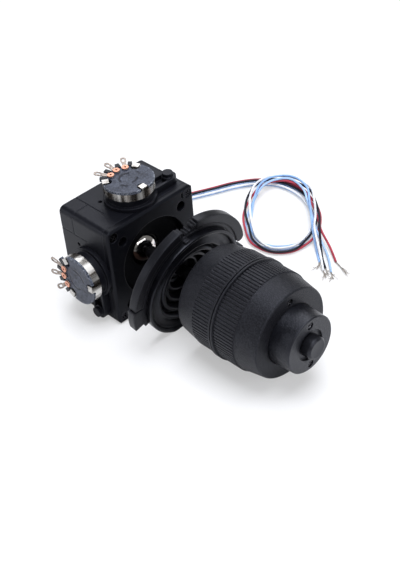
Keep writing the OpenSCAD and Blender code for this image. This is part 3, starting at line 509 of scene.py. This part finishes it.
dress(wafer_laminate("wafer_top", 1,
                     ((3.4, 200, 70), (3.4, 20, 40), (5.2, 300, 25), (5.2, 95, 20))),
      "pot_top_wafer")
dress(wafer_laminate("wafer_side", 2,
                     ((3.5, 235, 75), (5.0, 60, 45), (6.8, 330, 15))),
      "pot_side_wafer")
lug_tin = Finish("tinned_brass", metallic=0.2, specular_ior_level=0.5)
lug_cloud = lug_tin.noise(0.9, 4.0, 0.6)
lug_tin.paint(color=lug_tin.mix(((lug_cloud - 0.3) * 2.2 - lug_tin.edge(0.15)).clamp(),
                                (0.13, 0.10, 0.085), (0.60, 0.51, 0.44)),
              roughness=0.34 + 0.22 * lug_tin.noise(2.2, 3.0))
lug_tin.bump(lug_tin.noise(1.8, 3.0), 0.03)
dress(lug_tin.material, "pot_top_lugs", "pot_side_lugs")
copper = Finish("eyelet_copper", metallic=0.6)
copper.paint(color=copper.mix(copper.noise(1.6, 3.0), (0.46, 0.17, 0.10), (0.86, 0.44, 0.30)),
             roughness=0.26 + 0.2 * copper.noise(3.0, 2.0))
copper.bump(copper.noise(3.0, 2.0), 0.02)
dress(copper.material, "pot_top_eyelets", "pot_side_eyelets")
dress(nylon("rotor_nylon", (0.02, 0.02, 0.022), (0.03, 0.03, 0.032), 0.42), "pot_top_rotor",
      "pot_side_rotor")


# ---------- ball and stem ----------
# A chrome-plated steel ball on a black anodised stem tube; the ball turns in the socket behind
# the front plate. Its lower side is painted dark brown: a painted dark reflection.
chrome = Finish("ball_chrome", metallic=1.0)
smear = chrome.noise(0.25, 4.0, 0.6)
y, z = chrome.axes()[1:]
# Painted dark reflection on the lower side of the ball.
painted_dark_reflection = (z * 0.75 + y * 0.35).below(-0.5, 2.2)
bare_chrome = chrome.mix(smear, (0.60, 0.55, 0.51), (0.86, 0.84, 0.82))
chrome.paint(color=chrome.mix(painted_dark_reflection, bare_chrome, (0.016, 0.009, 0.007)),
             roughness=0.05 + 0.10 * ((smear - 0.45) * 2.0).clamp() + 0.12 * painted_dark_reflection)
chrome.bump(chrome.noise(1.2, 2.0), 0.004)
dress(chrome.material, "swivel_ball")
dress(nylon("stem_black", (0.004, 0.004, 0.005), (0.009, 0.009, 0.010), 0.30), "stem")


# ---------- boot ----------
# A folded boot in black chloroprene rubber, dipped on a former. Its bead sits in the clamp ring,
# its folds sink towards the housing, and its neck grips the stem.
# Middle of the clamp ring, and how far its top leans forward in degrees
ring_centre = np.array([17.0, -0.8, -0.7])
ring_lean = 9.1
boot_wall = 0.85
bead_bore = 21.2
boot_facets = 176
neck_facets = 72
# Height at which the bead lies flat on the table
table_contact = -21.94


def lathe(loop, around, turn, centre, floor=None):
    """A closed loop of (radius, height) revolved: (r cos a, r sin a, h) turned and moved to its
    place. Points that would pass below the floor are pressed flat on it."""
    loop = np.asarray(loop, float)
    a = np.linspace(0.0, 2 * np.pi, around, endpoint=False)[None, :]
    r, h = loop[:, :1], loop[:, 1:]
    grid = np.stack([r * np.cos(a), r * np.sin(a), np.broadcast_to(h, (len(loop), around))], 2)
    grid = grid @ np.asarray(turn).T + centre
    if floor is not None:
        grid[..., 2] = np.maximum(grid[..., 2], floor)
    return grid


def about_y(degrees):
    """Turn about +Y: at 90 degrees it lays +Z along +X."""
    c, s = math.cos(math.radians(degrees)), math.sin(math.radians(degrees))
    return np.array([(c, 0, s), (0, 1, 0), (-s, 0, c)])


def boot_loop():
    """The boot's section: the bead with its rounded lip, then folds with round crests and narrow
    creases, and back along the inside one wall thickness behind."""
    crests = [(16.9, 4.2), (13.7, 3.3), (10.5, 1.5), (7.3, -1.0)]
    creases = [(15.25, 1.9), (12.05, -0.2), (8.9, -2.4), (5.8, -4.6)]
    front = [(22.9, 1.3), (22.95, 3.2), (22.9, 5.0), (22.5, 5.4), (21.9, 5.4), (21.45, 4.9),
             (21.1, 3.9), (20.2, 3.4), (19.0, 3.35), (18.2, 3.6)]
    for (cr, ch), (vr, vh) in zip(crests, creases):
        front += [(cr + 0.75, ch - 0.35), (cr, ch), (cr - 0.75, ch - 0.45), (vr + 0.25, vh + 0.5),
                  (vr, vh)]
    front += [(5.1, -4.9), (4.75, -5.8)]
    front = smooth_curve([(r, h, 0.0) for r, h in front], 5)[:, :2]
    inside = front[front[:, 0] < bead_bore][::-1] - (0.0, boot_wall)
    return np.vstack([front, inside, [(bead_bore + 0.1, 1.2)]])


rubber = Finish("boot_rubber", specular_ior_level=0.22, specular_tint=(0.8, 0.84, 1.0),
                coat_weight=0.04, coat_roughness=0.2)
dust = rubber.noise(0.16, 5.0, 0.65)
pore = rubber.noise(1.8, 3.0, 0.6)
rubber.paint(color=rubber.mix(((dust - 0.42) * 2.6).clamp(), (0.0016, 0.0016, 0.0024),
                              (0.0052, 0.0054, 0.0074)),
             roughness=0.26 + 0.2 * (dust - 0.4) + 0.1 * pore)
rubber.bump(pore, 0.02)
rubber.bump(rubber.noise(0.35, 2.0), 0.08)
folds = lathe(boot_loop(), boot_facets, about_y(90 + ring_lean), ring_centre,
              floor=table_contact)
neck_curve = smooth_curve([(2.6, 7.7, 0), (4.1, 7.7, 0), (4.35, 8.1, 0), (4.3, 9.0, 0),
                           (3.9, 9.6, 0), (4.0, 10.4, 0), (4.3, 11.0, 0), (4.2, 11.6, 0),
                           (3.6, 11.75, 0), (2.6, 11.75, 0)], 4)[:, :2]
neck = lathe(neck_curve, neck_facets, about_y(90), np.zeros(3))
boot_faces = [*grid_faces(*folds.shape[:2], closed_rows=True).tolist(),
              *grid_faces(*neck.shape[:2], closed_rows=True,
                          first=folds.shape[0] * folds.shape[1]).tolist()]
boot = make_piece("rubber_boot", np.vstack([folds.reshape(-1, 3), neck.reshape(-1, 3)]),
                  boot_faces, "stick", rubber.material)
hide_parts("boot")


# ---------- clamp ring ----------
# The clamp ring over the boot's bead is moulded in black nylon, in two arcs that latch on a
# collar. It is glossier than the housing, and its edges are bevelled.
dress(nylon("ring_nylon", (0.0022, 0.0023, 0.0033), (0.0072, 0.0073, 0.0092), 0.38, edge=1.1,
            shine=0.22),
      "clamp_collar", "clamp_arc_left", "clamp_arc_right")


# ---------- grip ----------
# The grip's two ridged halves, one above the other, turn on a core that is fixed to the stem.
# They and the end cap are charcoal nylon from spark-eroded moulds. Inside are a divider, contact
# tracks and the switch on its small laminate board.
dress(nylon("grip_nylon", (0.0012, 0.0013, 0.0022), (0.0140, 0.0142, 0.0176), 0.42, 0.08,
            edge=0.22, shine=0.26, speckle=4.5),
      "lower_grip", "upper_grip", "grip_core", "upper_hub")
dress(nylon("cap_nylon", (0.0016, 0.0018, 0.0028), (0.0085, 0.0089, 0.0122), 0.29, 0.07,
            edge=0.5, shine=0.34, speckle=3.6),
      "end_cap")
dress(nylon("divider_nylon", (0.003, 0.003, 0.0035), (0.006, 0.006, 0.007), 0.4), "divider")
board = Finish("board_laminate", roughness=0.45)
board.paint(color=board.mix(board.noise(0.8, 4.0), (0.05, 0.11, 0.06), (0.08, 0.16, 0.09)))
board.bump(board.noise(4.0, 2.0), 0.02)
dress(board.material, "switch_board", "lower_track", "upper_track")
dress(nylon("switch_body", (0.015, 0.015, 0.016), (0.03, 0.03, 0.032), 0.4), "push_switch")


# ---------- push button ----------
# Moulded black nylon, pushed in from behind: a straight shank, a chamfered rim and a face that is
# dished by a tenth of a millimetre.
button_facets = 96
button_chamfer = 0.75
button_dish = 0.12
# Radius of the small hole in the lathed grid that its end fans close
pole = 0.02


def button_loop(radius, front, back):
    """The button's section: shank, a chamfer with rounded shoulders, and the shallow dish
    front - button_dish * (1 - (r / rim)^2). It starts and ends at the pole radius."""
    rim = radius - button_chamfer
    shoulder = smooth_curve([(radius, front - 1.8, 0), (radius, front - 0.95, 0),
                             (radius - 0.1, front - 0.72, 0), (rim + 0.12, front - 0.08, 0),
                             (rim - 0.12, front, 0)], 5)[:, :2]
    r = np.linspace(rim - 0.2, pole, 14)
    dish = np.stack([r, front - button_dish * (1 - (r / rim) ** 2)], 1)
    return np.vstack([[(pole, back), (radius, back)], shoulder, dish])


low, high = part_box("push_button")
low, high = np.array(low) / MM, np.array(high) / MM
button_grid = lathe(button_loop((high[1] - low[1]) / 2, high[0] - 0.01, low[0] + 0.02),
                    button_facets, about_y(90), np.zeros(3))
button = make_piece("button_cap", *closed_tube(button_grid), "push_button",
                    nylon("button_nylon", (0.005, 0.005, 0.0065), (0.013, 0.0135, 0.0165), 0.34,
                          shine=0.3))
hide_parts("push_button")


# ---------- floor and light ----------
# A white sheet under the joystick, and large soft studio boxes round it. The camera sees the
# sheet partly lit from within, as a lightbox table shows it, so that shadows stay pale.
floor_level = -22.0
sheet_half = 3000.0
# Share of the sheet's own glow in what the camera sees: near the joystick, and far off, where it
# has risen to 1
near_glow = 0.40
glow_from, glow_over = 180.0, 350.0
sheet = Finish("white_sheet", roughness=0.9, specular_ior_level=0.1)
sheet.paint(color=sheet.mix(sheet.noise(0.02, 2.0), (0.86, 0.86, 0.865), (0.885, 0.885, 0.89)))
glow = sheet.node("ShaderNodeEmission", {}, {"Color": (1.0, 1.0, 1.0), "Strength": 1.0})
x, y = sheet.axes()[:2]
far = (((x * x + y * y) ** 0.5 - glow_from) / glow_over).clamp()
seen = (sheet.node("ShaderNodeLightPath").out("Is Camera Ray")
        * (near_glow + (1 - near_glow) * far))
lit = sheet.node("ShaderNodeMixShader", {}, {0: seen})
sheet.links.new(sheet.shader.outputs[0], lit.made.inputs[1])
sheet.links.new(glow.made.outputs[0], lit.made.inputs[2])
sheet.links.new(lit.made.outputs[0], sheet.end.inputs[0])
corners = [(-1, -1), (1, -1), (1, 1), (-1, 1)]
floor_mesh = bpy.data.meshes.new("floor")
floor_mesh.from_pydata([(x * sheet_half * MM, y * sheet_half * MM, floor_level * MM)
                        for x, y in corners], [], [(0, 1, 2, 3)])
floor_mesh.materials.append(sheet.material)
floor = bpy.data.objects.new("floor", floor_mesh)
scene.collection.objects.link(floor)

# The world is white behind the sheet, and a weak fill for everything else
fill_strength = 0.2
world = bpy.data.worlds.new("studio")
scene.world = world
world.use_nodes = True
sky = world.node_tree.nodes["Background"]
sky.inputs[0].default_value = (1.0, 1.0, 1.0, 1.0)
ray = world.node_tree.nodes.new("ShaderNodeLightPath")
strength = world.node_tree.nodes.new("ShaderNodeMapRange")
strength.inputs["To Min"].default_value = fill_strength
world.node_tree.links.new(ray.outputs["Is Camera Ray"], strength.inputs["Value"])
world.node_tree.links.new(strength.outputs[0], sky.inputs[1])
scene.view_settings.view_transform = "Standard"

lamp_target = np.array([20.0, 0, 0])
lamp_tint = (0.94, 0.955, 1.0)


def soft_box(name, place, size, watts):
    """A rectangular area lamp that faces the joystick's middle: its axes are the line from the
    target to the lamp, a level side and their cross product."""
    lamp = bpy.data.lights.new(name, "AREA")
    lamp.shape = "RECTANGLE"
    lamp.size, lamp.size_y = size[0] * MM, size[1] * MM
    lamp.energy = watts
    lamp.color = lamp_tint
    made = bpy.data.objects.new(name, lamp)
    scene.collection.objects.link(made)
    back = unit(np.array(place, float) - lamp_target)
    side = unit(np.cross((0, 0, 1.0), back))
    over = np.cross(back, side)
    made.matrix_world = Matrix([(*row, x * MM) for row, x in
                                zip(np.stack([side, over, back], 1), place)] + [(0, 0, 0, 1)])


soft_box("lamp_key", (-560, 620, 800), (600, 600), 4.9)
soft_box("lamp_top", (200, 0, 1200), (800, 800), 15.5)
soft_box("lamp_left", (-700, -800, 400), (450, 450), 2.4)
soft_box("lamp_fill", (950, -50, 640), (1100, 420), 4.5)
